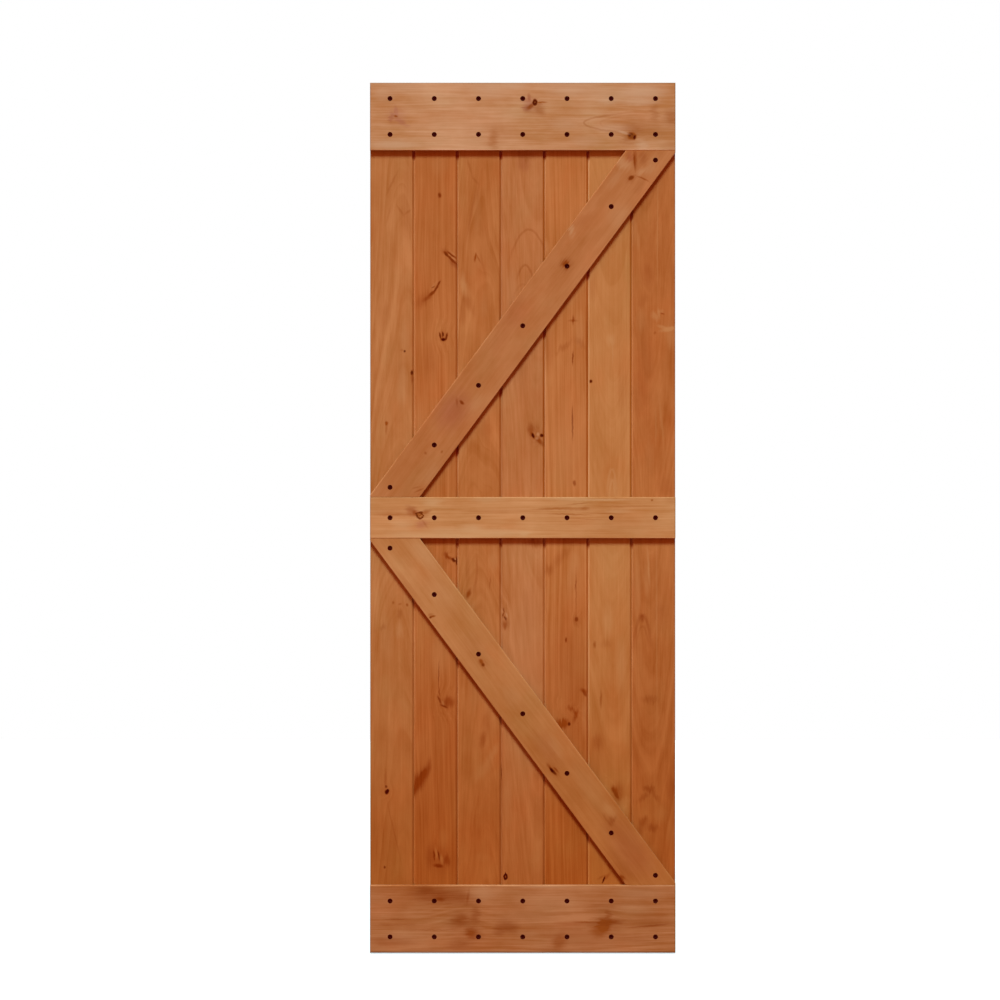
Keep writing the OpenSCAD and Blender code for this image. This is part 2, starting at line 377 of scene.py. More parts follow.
planks[2] = Board(
    seed=6.2, stain=screen(178, 101, 53), pith=(-0.16, 0.05), rings=100, taper=2.0, wobble=4.0,
    bands=0.6, lines=0.2, streaks=0.5, fibre=0.72, clouds=0.7, foot=1.0, edges=(0.8, 0.65),
    marks=[
        Mark(-0.204, 1.859, 0.007, 0.005, dark=0.3, brown=0.7),
        Mark(-0.205, 1.937, 0.03, 0.02, pale=0.25),
        Mark(-0.1747, 1.7128, 0.015, 0.0026, -52, dark=0.45, brown=0.7),
        Mark(-0.177, 1.7035, 0.022, 0.0035, -47, dark=0.4, brown=0.7),
        Mark(-0.189, 1.716, 0.008, 0.005, -45, dark=0.35, brown=0.4),
        Mark(-0.17, 1.7035, 0.011, 0.002, -50, pale=0.5, bend=1.5),
        Mark(-0.17, 1.716, 0.01, 0.0018, -52, pale=0.4),
        Mark(-0.17, 1.6915, 0.016, 0.0058, -47, brown=0.45),
        Mark(-0.192, 1.722, 0.012, 0.008, -40, brown=0.3),
        Mark(-0.168, 1.688, 0.016, 0.01, -40, pink=0.5),
        Mark(-0.2055, 1.643, 0.008, 0.0028, 22, dark=0.45, brown=0.6),
        Mark(-0.2115, 1.631, 0.01, 0.0035, 38, dark=0.5, brown=0.6),
        Mark(-0.221, 1.6195, 0.011, 0.004, 50, dark=0.4, brown=0.6),
        Mark(-0.2205, 1.633, 0.005, 0.002, 60, dark=0.45, brown=0.4),
        Mark(-0.233, 1.608, 0.016, 0.0055, 52, brown=0.5),
        Mark(-0.243, 1.603, 0.026, 0.014, 50, brown=0.35),
        Mark(-0.217, 1.639, 0.014, 0.003, 42, pale=0.25),
        Mark(-0.2025, 1.514, 0.01, 0.0025, -14, dark=0.7, brown=0.4),
        Mark(-0.1965, 1.517, 0.008, 0.0022, -4, dark=0.85, brown=0.2),
        Mark(-0.187, 1.512, 0.01, 0.003, 8, dark=0.65, brown=0.4),
        Mark(-0.1945, 1.5045, 0.0045, 0.007, dark=1.0, brown=0.3),
        Mark(-0.196, 1.513, 0.014, 0.012, brown=0.35, bend=1.5),
        Mark(-0.225, 1.455, 0.05, 0.02, brown=0.15),
        Mark(-0.254, 1.3, 0.05, 0.01, pale=0.3),
        Mark(-0.187, 0.9735, 0.01, 0.006, -35, dark=0.1, brown=0.65),
        Mark(-0.178, 0.968, 0.007, 0.004, -55, dark=0.2, brown=0.5, bend=1.5),
        Mark(-0.1695, 0.9632, 0.0068, 0.0056, -35, dark=0.8, brown=0.4),
        Mark(-0.1625, 0.961, 0.013, 0.0022, dark=0.75, brown=0.2),
        Mark(-0.1658, 0.9658, 0.0032, 0.0018, -40, pale=0.8),
        Mark(-0.186, 0.962, 0.016, 0.008, brown=0.25),
        Mark(-0.206, 0.728, 0.05, 0.024, pale=0.4),
        Mark(-0.206, 0.685, 0.034, 0.0018, 2, dark=0.38, brown=0.5),
        Mark(-0.205, 0.64, 0.014, 0.002, -6, dark=0.15, brown=0.6),
        Mark(-0.205, 0.62, 0.012, 0.003, -25, dark=0.3, brown=0.6),
        Mark(-0.194, 0.604, 0.003, 0.01, 20, dark=0.35, brown=0.5),
        Mark(-0.196, 0.611, 0.006, 0.003, -25, pale=0.4),
        Mark(-0.182, 0.613, 0.014, 0.016, brown=0.8, bend=2.0),
        *[Mark(-0.2645 + 0.006 * i, 0.402 + 0.0088 * i, 0.023 + 0.009 * (i % 2), 0.0046, 8, brown=0.42)
          for i in range(7)],
        Mark(-0.252, 0.423, 0.036, 0.016, 28, brown=0.45),
        Mark(-0.247, 0.436, 0.016, 0.006, 28, dark=0.12, brown=0.3),
        Mark(-0.2685, 0.396, 0.015, 0.0032, dark=0.5, brown=0.5),
        Mark(-0.263, 0.424, 0.02, 0.006, brown=0.4),
        Mark(-0.194, 0.278, 0.024, 0.012, pale=0.4),
        Mark(-0.2175, 0.237, 0.014, 0.002, -4, dark=0.35, brown=0.6),
        Mark(-0.2125, 0.243, 0.013, 0.0024, -6, pale=0.7, bend=2.0),
        Mark(-0.206, 0.2365, 0.014, 0.002, -14, dark=0.5, brown=0.5),
        Mark(-0.199, 0.228, 0.012, 0.0042, -12, pale=0.65),
        Mark(-0.207, 0.2125, 0.005, 0.012, 8, dark=0.15, brown=0.8),
        Mark(-0.186, 0.226, 0.014, 0.008, -10, brown=0.65),
        Mark(-0.228, 0.236, 0.03, 0.011, brown=0.4),
        Mark(-0.204, 0.225, 0.04, 0.03, brown=0.25),
    ])
planks[3] = Board(
    seed=9.3, stain=screen(178, 104, 56), pith=(0.01, 0.04), rings=70, taper=8.0, wobble=8.0,
    bands=0.6, lines=0.25, streaks=0.38, fibre=0.55, clouds=1.15, foot=0.85, edges=(0.6, 0.65),
    marks=[
        Mark(-0.131, 1.93, 0.022, 0.003, -18, brown=0.3),
        Mark(-0.117, 1.896, 0.014, 0.003, -40, brown=0.25),
        Mark(-0.11, 1.86, 0.03, 0.003, 5, brown=0.2),
        Mark(-0.1257, 1.817, 0.065, 0.003, 11, brown=0.3),
        Mark(-0.112, 1.815, 0.05, 0.01, pale=0.2),
        Mark(-0.105, 1.7, 0.1, 0.045, brown=0.1),
        Mark(-0.143, 1.632, 0.024, 0.011, -20, pale=0.28),
        Mark(-0.1165, 1.706, 0.011, 0.0025, 6, brown=0.95),
        Mark(-0.109, 1.704, 0.012, 0.002, -30, brown=0.5),
        Mark(-0.098, 1.69, 0.03, 0.003, -12, brown=0.2),
        Mark(-0.1465, 1.645, 0.026, 0.008, -6, pale=0.35),
        Mark(-0.133, 1.594, 0.028, 0.011, -25, brown=0.35),
        Mark(-0.09, 1.285, 0.03, 0.014, brown=0.3),
        Mark(-0.148, 1.575, 0.03, 0.01, brown=0.25),
        Mark(-0.095, 1.585, 0.03, 0.01, pale=0.25),
        Mark(-0.071, 0.965, 0.03, 0.012, pale=0.3),
        Mark(-0.136, 0.945, 0.05, 0.006, brown=0.25),
        Mark(-0.112, 0.949, 0.022, 0.003, brown=0.35),
        Mark(-0.08, 0.907, 0.016, 0.002, 6, brown=0.5),
        Mark(-0.117, 0.902, 0.03, 0.004, 10, brown=0.3),
        Mark(-0.133, 0.88, 0.014, 0.0058, 20, dark=0.1, brown=0.9),
        Mark(-0.098, 0.83, 0.09, 0.03, pale=0.12),
        Mark(-0.0975, 0.522, 0.022, 0.008, 10, brown=0.6),
        Mark(-0.088, 0.57, 0.03, 0.012, brown=0.3),
        Mark(-0.118, 0.63, 0.04, 0.014, pale=0.25),
        Mark(-0.073, 0.49, 0.026, 0.008, 30, pale=0.4),
        Mark(-0.0975, 0.448, 0.034, 0.014, 40, pale=0.4),
        Mark(-0.1, 0.233, 0.012, 0.018, pale=0.2),
    ])
planks[4] = Board(
    seed=12.4, stain=screen(181, 109, 64), pith=(0.035, 0.035), rings=70, taper=-8.0, wobble=6.0,
    bands=0.5, lines=0.15, streaks=0.4, fibre=0.59, clouds=0.9, foot=0.8, edges=(0.2, 1.0),
    marks=[
        Mark(0.003, 1.937, 0.018, 0.016, brown=0.15, pink=0.5),
        Mark(0.01, 1.957, 0.012, 0.022, brown=0.4),
        Mark(-0.028, 1.63, 0.05, 0.012, pale=0.25),
        Mark(0.038, 1.4, 0.09, 0.026, brown=0.15),
        Mark(-0.005, 1.42, 0.06, 0.02, brown=0.2),
        Mark(0.0255, 1.268, 0.008, 0.004, -22, dark=1.0, brown=0.4, bend=1.5),
        Mark(0.0465, 1.269, 0.005, 0.0055, dark=0.95, brown=0.4),
        Mark(0.038, 1.272, 0.005, 0.004, pale=0.7),
        Mark(0.035, 1.262, 0.004, 0.004, -50, pale=0.5),
        Mark(0.042, 1.254, 0.016, 0.0055, -45, dark=0.1, brown=0.6),
        Mark(0.019, 1.286, 0.014, 0.009, brown=0.7),
        Mark(0.034, 1.27, 0.024, 0.018, brown=0.4),
        Mark(-0.0445, 0.826, 0.02, 0.007, brown=0.35, bend=1.5),
        Mark(-0.046, 0.84, 0.007, 0.0018, -8, dark=0.5, brown=0.3),
        Mark(-0.048, 0.829, 0.006, 0.0018, 14, dark=0.5, brown=0.3),
        Mark(-0.0435, 0.82, 0.007, 0.0025, -25, dark=0.7, brown=0.3),
        Mark(-0.04, 0.828, 0.007, 0.002, -10, pale=0.6),
        Mark(-0.051, 0.838, 0.005, 0.0015, pale=0.4),
        Mark(-0.0445, 0.801, 0.01, 0.007, dark=0.12, brown=0.5),
        Mark(-0.04, 0.806, 0.012, 0.009, brown=0.45),
        Mark(0.018, 0.855, 0.05, 0.02, brown=0.2),
        # Painted shadow: deeper shade just under the middle rail
        Mark(0.031, 1.006, 0.011, 0.024, brown=0.65),
        Mark(0.0, 0.66, 0.22, 0.055, pale=0.34),
        Mark(-0.0425, 0.185, 0.0056, 0.0037, dark=0.3, brown=0.5, rim=0.95, bend=1.0),
        Mark(-0.0425, 0.194, 0.005, 0.002, dark=0.6),
        Mark(-0.055, 0.441, 0.024, 0.004, dark=0.55, brown=0.4),
        Mark(-0.038, 0.375, 0.06, 0.012, pale=0.3),
    ],
    arches=[
        Arch(0.015, 1.775, -33.0, 0.09, 0.003, brown=0.35),
        Arch(0.006, 1.688, -90.0, 0.05, 0.003, brown=0.4),
        Arch(0.0, 1.64, -60.0, 0.08, 0.003, brown=0.15),
    ])
planks[5] = Board(
    seed=15.5, stain=screen(183, 107, 58), pith=(-0.12, 0.05), rings=100, taper=2.0, wobble=4.0,
    bands=0.6, lines=0.2, streaks=0.5, fibre=0.72, clouds=0.8, foot=1.0, edges=(0.65, 1.0),
    marks=[
        Mark(0.124, 1.553, 0.012, 0.003, dark=0.2, brown=0.6),
        Mark(0.124, 1.551, 0.003, 0.012, brown=0.6),
        Mark(0.101, 1.487, 0.024, 0.007, 50, brown=0.4),
        Mark(0.14, 1.498, 0.02, 0.007, -40, brown=0.35),
        Mark(0.14, 1.527, 0.04, 0.012, pale=0.3),
        Mark(0.065, 1.48, 0.05, 0.012, brown=0.25),
        Mark(0.06, 1.728, 0.02, 0.006, pale=0.35),
        Mark(0.128, 0.958, 0.03, 0.014, pale=0.3),
        Mark(0.118, 0.925, 0.03, 0.01, pale=0.2),
        Mark(0.123, 1.459, 0.018, 0.002, dark=0.4, brown=0.6),
        Mark(0.122, 1.299, 0.045, 0.002, dark=0.6, brown=0.7),
        Mark(0.107, 1.23, 0.1, 0.04, pale=0.2),
        Mark(0.127, 1.152, 0.007, 0.004, -12, dark=0.3, brown=0.9),
        Mark(0.064, 0.94, 0.014, 0.01, brown=0.45),
        Mark(0.096, 0.972, 0.034, 0.012, 40, brown=0.3),
        Mark(0.131, 0.89, 0.05, 0.0016, brown=0.7),
        Mark(0.13, 0.902, 0.012, 0.0016, 8, dark=0.25, brown=0.4),
        Mark(0.107, 1.28, 0.24, 0.06, pale=0.11),
        Mark(0.128, 0.885, 0.06, 0.02, pale=0.15),
        Mark(0.132, 0.818, 0.006, 0.005, dark=0.45, brown=0.6, bend=1.0),
        Mark(0.132, 0.816, 0.014, 0.01, brown=0.35),
        Mark(0.106, 0.767, 0.007, 0.003, dark=0.4, brown=0.5),
        Mark(0.107, 0.64, 0.2, 0.055, brown=0.3),
        Mark(0.15, 0.642, 0.01, 0.005, -70, brown=0.7),
        Mark(0.153, 0.635, 0.009, 0.004, -35, dark=0.2, brown=0.7),
        Mark(0.121, 0.594, 0.016, 0.006, -60, brown=0.5, bend=2.0),
        Mark(0.13, 0.58, 0.018, 0.005, 20, brown=0.6),
        Mark(0.152, 0.575, 0.05, 0.008, pale=0.35),
        Mark(0.114, 0.56, 0.005, 0.004, dark=0.8, brown=0.2),
        Mark(0.097, 0.561, 0.012, 0.016, brown=1.0),
    ])
planks[6] = Board(
    seed=18.6, stain=screen(186, 117, 67), pith=(0.002, 0.045), rings=70, taper=-9.0, wobble=4.0,
    bands=0.35, lines=0.12, streaks=0.32, fibre=0.49, clouds=0.7, foot=1.0, edges=(0.95, 1.0),
    marks=[
        Mark(0.2164, 1.503, 0.014, 0.01, pale=0.3),
        Mark(0.221, 1.47, 0.03, 0.002, pale=0.25),
        Mark(0.219, 1.14, 0.045, 0.01, pale=0.15),
        Mark(0.168, 1.402, 0.005, 0.0045, dark=0.9, brown=0.4),
        Mark(0.172, 1.635, 0.03, 0.01, brown=0.25),
        Mark(0.248, 1.385, 0.08, 0.014, brown=0.2),
        Mark(0.242, 0.7, 0.07, 0.014, pale=0.3),
        Mark(0.209, 0.81, 0.04, 0.012, pale=0.25),
        Mark(0.252, 0.348, 0.012, 0.01, pale=0.4),
        Mark(0.177, 0.755, 0.009, 0.004, brown=0.7),
        Mark(0.205, 0.757, 0.012, 0.014, brown=0.2),
        Mark(0.192, 0.62, 0.022, 0.003, brown=0.6),
        Mark(0.184, 0.517, 0.022, 0.014, brown=0.35),
        Mark(0.18, 0.42, 0.12, 0.03, brown=0.2),
        Mark(0.228, 0.39, 0.017, 0.004, -30, dark=0.3, brown=0.7, bend=1.5),
        Mark(0.226, 0.399, 0.012, 0.008, -20, brown=0.5),
        Mark(0.233, 0.392, 0.024, 0.016, brown=0.35),
        Mark(0.24, 0.384, 0.04, 0.022, brown=0.2),
        Mark(0.25, 0.364, 0.02, 0.012, 40, pale=0.4),
        Mark(0.199, 0.178, 0.011, 0.0025, 22, dark=0.9, brown=0.3),
        Mark(0.193, 0.184, 0.012, 0.003, 62, brown=0.4),
        Mark(0.207, 0.185, 0.012, 0.004, 40, brown=0.5),
    ],
    arches=[
        Arch(0.219, 1.185, -350.0, 0.11, 0.003, pale=0.2),
        Arch(0.22, 1.158, -700.0, 0.09, 0.003, pale=0.25),
    ])
planks[7] = Board(
    seed=21.7, stain=screen(175, 99, 51), pith=(-0.012, 0.035), rings=70, taper=-8.0, wobble=6.0,
    bands=0.6, lines=0.15, streaks=0.45, fibre=0.59, clouds=1.3, foot=0.9, edges=(0.75, 0.0),
    marks=[
        Mark(0.32, 1.82, 0.13, 0.045, brown=0.14),
        Mark(0.331, 1.77, 0.15, 0.002, pale=0.4),
        Mark(0.284, 1.745, 0.022, 0.004, pale=0.35),
        Mark(0.307, 1.662, 0.028, 0.015, brown=0.35),
        Mark(0.296, 1.6, 0.02, 0.01, 20, brown=0.25),
        Mark(0.326, 1.562, 0.009, 0.012, 30, pale=0.6),
        Mark(0.334, 1.572, 0.012, 0.003, -10, pale=0.5),
        Mark(0.34, 1.574, 0.005, 0.008, pale=0.4),
        Mark(0.357, 1.53, 0.0055, 0.02, -12, pale=1.0),
        Mark(0.342, 1.536, 0.004, 0.012, 15, pale=0.6),
        Mark(0.364, 1.515, 0.03, 0.012, pale=0.4),
        Mark(0.276, 1.772, 0.03, 0.007, pale=0.35),
        Mark(0.29, 1.552, 0.03, 0.012, pale=0.3),
        Mark(0.343, 1.568, 0.002, 0.005, 20, brown=0.9),
        Mark(0.325, 1.521, 0.004, 0.003, brown=0.5),
        Mark(0.3, 1.429, 0.13, 0.022, brown=0.25),
        Mark(0.34, 1.31, 0.06, 0.003, -6, pale=0.3),
        Mark(0.287, 1.368, 0.06, 0.018, brown=0.2),
        Mark(0.327, 1.29, 0.05, 0.003, pale=0.25),
        Mark(0.312, 1.225, 0.04, 0.012, pale=0.25),
        Mark(0.35, 1.138, 0.03, 0.018, brown=0.3),
        Mark(0.34, 0.825, 0.03, 0.018, brown=0.25),
        Mark(0.294, 0.819, 0.009, 0.005, brown=0.7),
        Mark(0.329, 0.78, 0.25, 0.0025, pale=0.3),
        Mark(0.309, 0.95, 0.05, 0.003, -4, pale=0.5),
        Mark(0.281, 0.89, 0.07, 0.01, pale=0.35),
        Mark(0.305, 0.915, 0.04, 0.008, pale=0.3),
        Mark(0.362, 0.292, 0.03, 0.01, pale=0.35),
        Mark(0.291, 0.302, 0.014, 0.01, brown=0.35),
        Mark(0.312, 0.62, 0.01, 0.02, brown=0.4),
        Mark(0.285, 0.7, 0.1, 0.01, pale=0.12),
        Mark(0.32, 0.92, 0.12, 0.05, pale=0.13),
        Mark(0.31, 0.402, 0.008, 0.014, brown=0.6),
        Mark(0.297, 0.38, 0.018, 0.006, 50, brown=0.4),
        Mark(0.325, 0.385, 0.016, 0.006, -40, brown=0.4),
        Mark(0.364, 0.402, 0.03, 0.012, brown=0.3),
        Mark(0.336, 0.336, 0.02, 0.016, pale=0.35),
        Mark(0.297, 0.322, 0.012, 0.012, brown=0.65),
        Mark(0.318, 0.306, 0.01, 0.016, brown=0.5),
    ],
    arches=[
        Arch(0.294, 0.828, -150.0, 0.11, 0.004, brown=0.45),
        Arch(0.294, 0.8, -190.0, 0.07, 0.003, brown=0.25),
    ])
PLANK_COVER = (cad_box[1].x - cad_box[0].x) / len(planks)

# The bevels of the V, by widths of the V from the plank's edge and behind its front
V_WIDTH = 0.0045
V_HIGHLIGHT_FADE = (1.1, 0.6)
V_SHADE_FADE = (1.2, 0.7)
V_FRONT_FADE = (2.0, 1.0)
# Painted highlight on the left bevel, painted shade on the right one, weaker in the lower panel
V_PAINTED_SHADE_SHARE = (0.78, 0.57, 0.25)
V_PAINTED_HIGHLIGHT_SHARE = (1.40, 1.75, 2.35)
V_SHADED_SHARE = (0.65, 0.20, 0.04)
V_LOWER_DEPTH = 0.6
UPPER_PANEL_FADE = (0.8, 1.2)

# The V gets painted shadow just below a rail or a brace: by metres below its lower edge, and where the
# shade ends behind the board
TOP_SHADE = (0.026, 0.012)
MIDDLE_SHADE = (0.030, 0.014)
MIDDLE_SHADE_DEPTH = 0.7
MIDDLE_SHADE_END = (0.010, 0.040)
BRACE_SHADE = (0.027, 0.016)
BRACE_SHADE_END = (-0.010, 0.0)
BRACE_LEAN = math.radians(36.55)
BRACE_WIDTH = 0.101
leans = {"upper_brace": BRACE_LEAN, "lower_brace": -BRACE_LEAN}
shade_depths = {"upper_brace": 1.0, "lower_brace": 0.4}


def joint_masks(number, edges):
    """Where a plank's front bevels are: painted highlight on its left, painted shade on its right,
    painted shadow under a rail or a brace.
    """
    left = cad_box[0].x + (number - 1) * PLANK_COVER
    right = left + PLANK_COVER
    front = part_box(f"plank_{number}")[0].y
    top_rail_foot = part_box("top_rail")[0].z
    middle_rail_foot, middle_rail_head = [corner.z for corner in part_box("middle_rail")]

    def masks(place, _):
        door_x, door_y, door_z = place.parts()
        facing = door_y.fade(*[front + V_WIDTH * value for value in V_FRONT_FADE])
        upper = door_z.fade(*UPPER_PANEL_FADE)
        shaded = door_z.fade(*[middle_rail_foot - value for value in MIDDLE_SHADE], MIDDLE_SHADE_DEPTH)
        shaded = shaded * door_z.fade(*[middle_rail_head - value for value in MIDDLE_SHADE_END])
        shaded = door_z.fade(*[top_rail_foot - value for value in TOP_SHADE]) + shaded
        for name, lean in leans.items():
            foot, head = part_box(name)
            lowest = (foot.z + head.z) / 2 - BRACE_WIDTH / 2 / math.sin(BRACE_LEAN)
            below = door_x * (1.0 / math.tan(lean)) + lowest - door_z
            shade = below.fade(*BRACE_SHADE, shade_depths[name]) * below.fade(*BRACE_SHADE_END)
            shaded = shade + shaded
        made = []
        # Painted highlight on the left bevel, and painted shadow on it under a rail or a brace
        if edges[0]:
            bevel = door_x.fade(*[left + V_WIDTH * value for value in V_HIGHLIGHT_FADE]) * facing
            made.append((bevel * (1.0 - shaded) * edges[0], V_PAINTED_HIGHLIGHT_SHARE))
            made.append((bevel * shaded, V_SHADED_SHARE))
        # Painted shade on the right bevel, and painted shadow on it under a rail or a brace
        if edges[1]:
            bevel = door_x.fade(*[right - V_WIDTH * value for value in V_SHADE_FADE]) * facing
            depth = V_LOWER_DEPTH + upper * (1.0 - V_LOWER_DEPTH)
            made.append((bevel * depth * edges[1], V_PAINTED_SHADE_SHARE))
            made.append((bevel * shaded, V_SHADED_SHARE))
        return made

    return masks


for number, board in planks.items():
    wood(f"plank_{number}", UPRIGHT, board, joint_masks(number, board.edges))

# Rails
# Three planed boards lie across the planks at the head, the middle and the foot, with eased front edges.
# They are of paler wood than the planks, and each is fixed with countersunk screws.
ACROSS = math.radians(90)
# A painted highlight along the long front edges, broken up along their length
ARRIS_WIDTH = 0.003
ARRIS_FADE = (1.3, 0.7)
ARRIS_HIGHLIGHT_SHARE = (1.25, 1.38, 1.55)
SAWN_FADE = (1.0, 2.0)
SAWN_SHARE = (0.60, 0.52, 0.42)
ARRIS_HIGHLIGHT_NOISE = Noise(7.0, 7.0, 0.0, 2.0)
ARRIS_HIGHLIGHT_SEEDS_A_METRE = 90.0
ARRIS_HIGHLIGHT_FADE = (0.30, 0.65)
ARRIS_HIGHLIGHT_DEPTH = 1.6


def arris_masks(node_name, half_width, edges):
    """Where a board's long front edges are, with a painted highlight, and its sawn sides, deeper in
    stain.
    """
    start, end = [half_width - ARRIS_WIDTH * value for value in ARRIS_FADE]
    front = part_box(node_name)[0].y

    def masks(place, across):
        door_y = place.parts()[1]
        sawn = door_y.fade(*[front + ARRIS_WIDTH * value for value in SAWN_FADE])
        # The painted highlight comes and goes along the edges
        patchy_highlight = place.noise(ARRIS_HIGHLIGHT_NOISE, half_width * ARRIS_HIGHLIGHT_SEEDS_A_METRE)[0].fade(*ARRIS_HIGHLIGHT_FADE, ARRIS_HIGHLIGHT_DEPTH)
        first = across.fade(-start, -end, edges[0]) * patchy_highlight
        second = across.fade(start, end, edges[1]) * patchy_highlight
        return [(first, ARRIS_HIGHLIGHT_SHARE), (second, ARRIS_HIGHLIGHT_SHARE), (sawn, SAWN_SHARE)]

    return masks


rails = {}
rails["top_rail"] = Board(
    seed=42.7, stain=screen(192, 133, 94), pith=(0.26, 0.08), rings=80, taper=1.5, wobble=5.0,
    bands=0.35, lines=0.15, streaks=0.5, fibre=0.85, clouds=1.4, foot=0.0, edges=(0.0, 0.5),
    marks=[
        Mark(0.0298, 2.0856, 0.0044, 0.0058, dark=0.65, brown=0.4, rim=0.75, bend=1.0),
        Mark(0.02, 2.076, 0.012, 0.0055, -35, dark=0.15, brown=0.5, pink=0.5),
        Mark(0.01, 2.07, 0.012, 0.008, -30, brown=0.35, pink=0.5),
        Mark(0.012, 2.084, 0.014, 0.014, pink=0.6),
        Mark(0.0155, 2.098, 0.004, 0.01, -10, brown=0.35, pink=0.5),
        Mark(0.044, 2.066, 0.013, 0.014, brown=0.45),
        Mark(0.048, 2.0863, 0.013, 0.0022, brown=0.8),
        Mark(-0.311, 2.052, 0.005, 0.003, brown=1.0),
        Mark(-0.322, 2.049, 0.006, 0.012, 15, brown=0.15, pink=0.9),
        Mark(-0.311, 2.064, 0.005, 0.014, -10, pink=0.8),
        Mark(-0.294, 2.036, 0.018, 0.007, 33, pink=0.8),
        Mark(-0.308, 2.052, 0.026, 0.02, pink=0.5),
        Mark(-0.073, 1.998, 0.012, 0.024, brown=0.35),
        Mark(0.268, 2.003, 0.0105, 0.0085, 25, dark=0.5, brown=1.0, bend=1.0),
        Mark(0.2745, 2.0, 0.004, 0.007, 15, dark=0.7),
        Mark(0.2605, 2.0055, 0.004, 0.0045, dark=0.5),
        Mark(0.266, 2.0095, 0.006, 0.003, 30, dark=0.35),
        Mark(0.268, 2.0035, 0.013, 0.01, brown=0.4),
        Mark(0.247, 2.0115, 0.014, 0.003, 14, pale=0.4),
        Mark(0.27, 2.021, 0.026, 0.012, brown=0.3),
        Mark(0.292, 1.981, 0.016, 0.012, pale=0.35),
        Mark(0.324, 2.062, 0.01, 0.022, brown=0.35),
        Mark(0.3, 2.023, 0.08, 0.03, brown=0.25),
        Mark(0.024, 2.078, 0.022, 0.02, brown=0.25, pink=0.3),
        Mark(0.366, 2.05, 0.022, 0.02, brown=0.6),
        Mark(0.36, 1.976, 0.024, 0.012, brown=0.2),
        Mark(0.258, 1.987, 0.024, 0.01, brown=0.25),
        Mark(-0.075, 1.978, 0.02, 0.014, brown=0.2),
        Mark(0.305, 2.111, 0.055, 0.018, pale=0.55),
        Mark(0.215, 2.105, 0.07, 0.018, pale=0.3),
        Mark(0.12, 2.126, 0.075, 0.014, pale=0.35),
        Mark(-0.09, 2.126, 0.07, 0.014, pale=0.35),
        Mark(-0.31, 2.122, 0.07, 0.016, pale=0.25),
        Mark(-0.338, 2.101, 0.025, 0.016, pale=0.25),
        Mark(-0.32, 1.982, 0.06, 0.012, pale=0.5),
        Mark(0.102, 2.033, 0.04, 0.016, pale=0.25),
        Mark(0.155, 1.99, 0.04, 0.014, pale=0.25),
        Mark(0.221, 2.022, 0.045, 0.012, pale=0.3),
        Mark(-0.085, 2.106, 0.05, 0.014, pale=0.3),
        Mark(0.11, 2.11, 0.045, 0.01, pale=0.3),
        Mark(-0.014, 2.127, 0.03, 0.01, pale=0.3),
        Mark(-0.085, 2.01, 0.06, 0.034, brown=0.2),
        Mark(0.29, 2.086, 0.045, 0.009, pale=0.45),
        Mark(0.211, 2.087, 0.03, 0.009, pale=0.3),
        Mark(0.256, 2.001, 0.012, 0.01, brown=0.4),
        Mark(0.036, 2.083, 0.01, 0.01, brown=0.3),
    ],
    arches=[
        Arch(0.15, 2.035, 170.0, 0.16, 0.0025, brown=0.4),
        Arch(0.19, 2.035, 200.0, 0.14, 0.0025, brown=0.15),
    ])
rails["middle_rail"] = Board(
    seed=45.4, stain=screen(191, 128, 81), pith=(0.16, 0.08), rings=90, taper=1.5, wobble=5.0,
    bands=0.3, lines=0.15, streaks=0.45, fibre=0.85, clouds=1.1, foot=0.0, edges=(0.0, 0.5),
    marks=[
        Mark(-0.2526, 1.0725, 0.0078, 0.0074, dark=0.12, brown=0.45, rim=0.75, bend=1.0),
        Mark(-0.252, 1.0725, 0.006, 0.0012, -45, dark=0.35),
        Mark(-0.27, 1.083, 0.018, 0.011, 35, brown=0.45, pink=0.6),
        Mark(-0.264, 1.079, 0.008, 0.0055, 35, brown=0.4, pink=0.6),
        Mark(-0.236, 1.082, 0.012, 0.0055, -15, brown=0.5, pink=0.3),
        Mark(-0.24, 1.052, 0.012, 0.003, 55, brown=0.3),
        Mark(-0.248, 1.051, 0.015, 0.011, pink=0.9),
        Mark(-0.222, 1.104, 0.022, 0.01, pale=0.4),
        Mark(-0.297, 1.052, 0.03, 0.012, pale=0.35),
        Mark(-0.19, 1.033, 0.045, 0.011, pale=0.35),
        Mark(-0.31, 1.074, 0.055, 0.004, brown=0.5),
        Mark(-0.315, 1.083, 0.06, 0.008, brown=0.25),
        Mark(-0.06, 1.083, 0.08, 0.007, brown=0.2),
        Mark(0.366, 1.112, 0.02, 0.008, brown=0.2),
        Mark(-0.279, 1.027, 0.05, 0.01, pale=0.3),
        Mark(-0.17, 1.021, 0.1, 0.006, pale=0.35),
        Mark(-0.083, 1.112, 0.04, 0.008, pale=0.3),
        Mark(0.111, 1.113, 0.05, 0.006, pale=0.3),
        Mark(0.234, 1.083, 0.035, 0.006, pale=0.3),
        Mark(-0.241, 1.074, 0.01, 0.01, brown=0.35),
        Mark(0.062, 1.0885, 0.034, 0.0028, -2, brown=0.55),
        Mark(0.12, 1.089, 0.045, 0.004, 2, brown=0.45),
        Mark(0.1526, 1.0908, 0.012, 0.004, brown=0.5),
        Mark(0.138, 1.1015, 0.03, 0.0018, -5, brown=0.45),
        Mark(0.115, 1.0755, 0.05, 0.0018, 2, brown=0.55),
        Mark(0.2, 1.0775, 0.055, 0.0016, 2, brown=0.3),
        Mark(0.15, 1.064, 0.06, 0.0014, 3, brown=0.35),
        Mark(0.25, 1.095, 0.08, 0.0016, brown=0.3),
        Mark(0.25, 1.048, 0.12, 0.022, pale=0.15),
        Mark(0.2017, 1.111, 0.06, 0.0025, pale=0.5),
        Mark(0.317, 1.1105, 0.003, 0.003, brown=0.9),
        Mark(0.003, 1.027, 0.014, 0.009, pale=0.4),
        Mark(-0.127, 1.04, 0.03, 0.012, pale=0.45),
        Mark(-0.06, 1.03, 0.06, 0.01, pale=0.5),
    ])
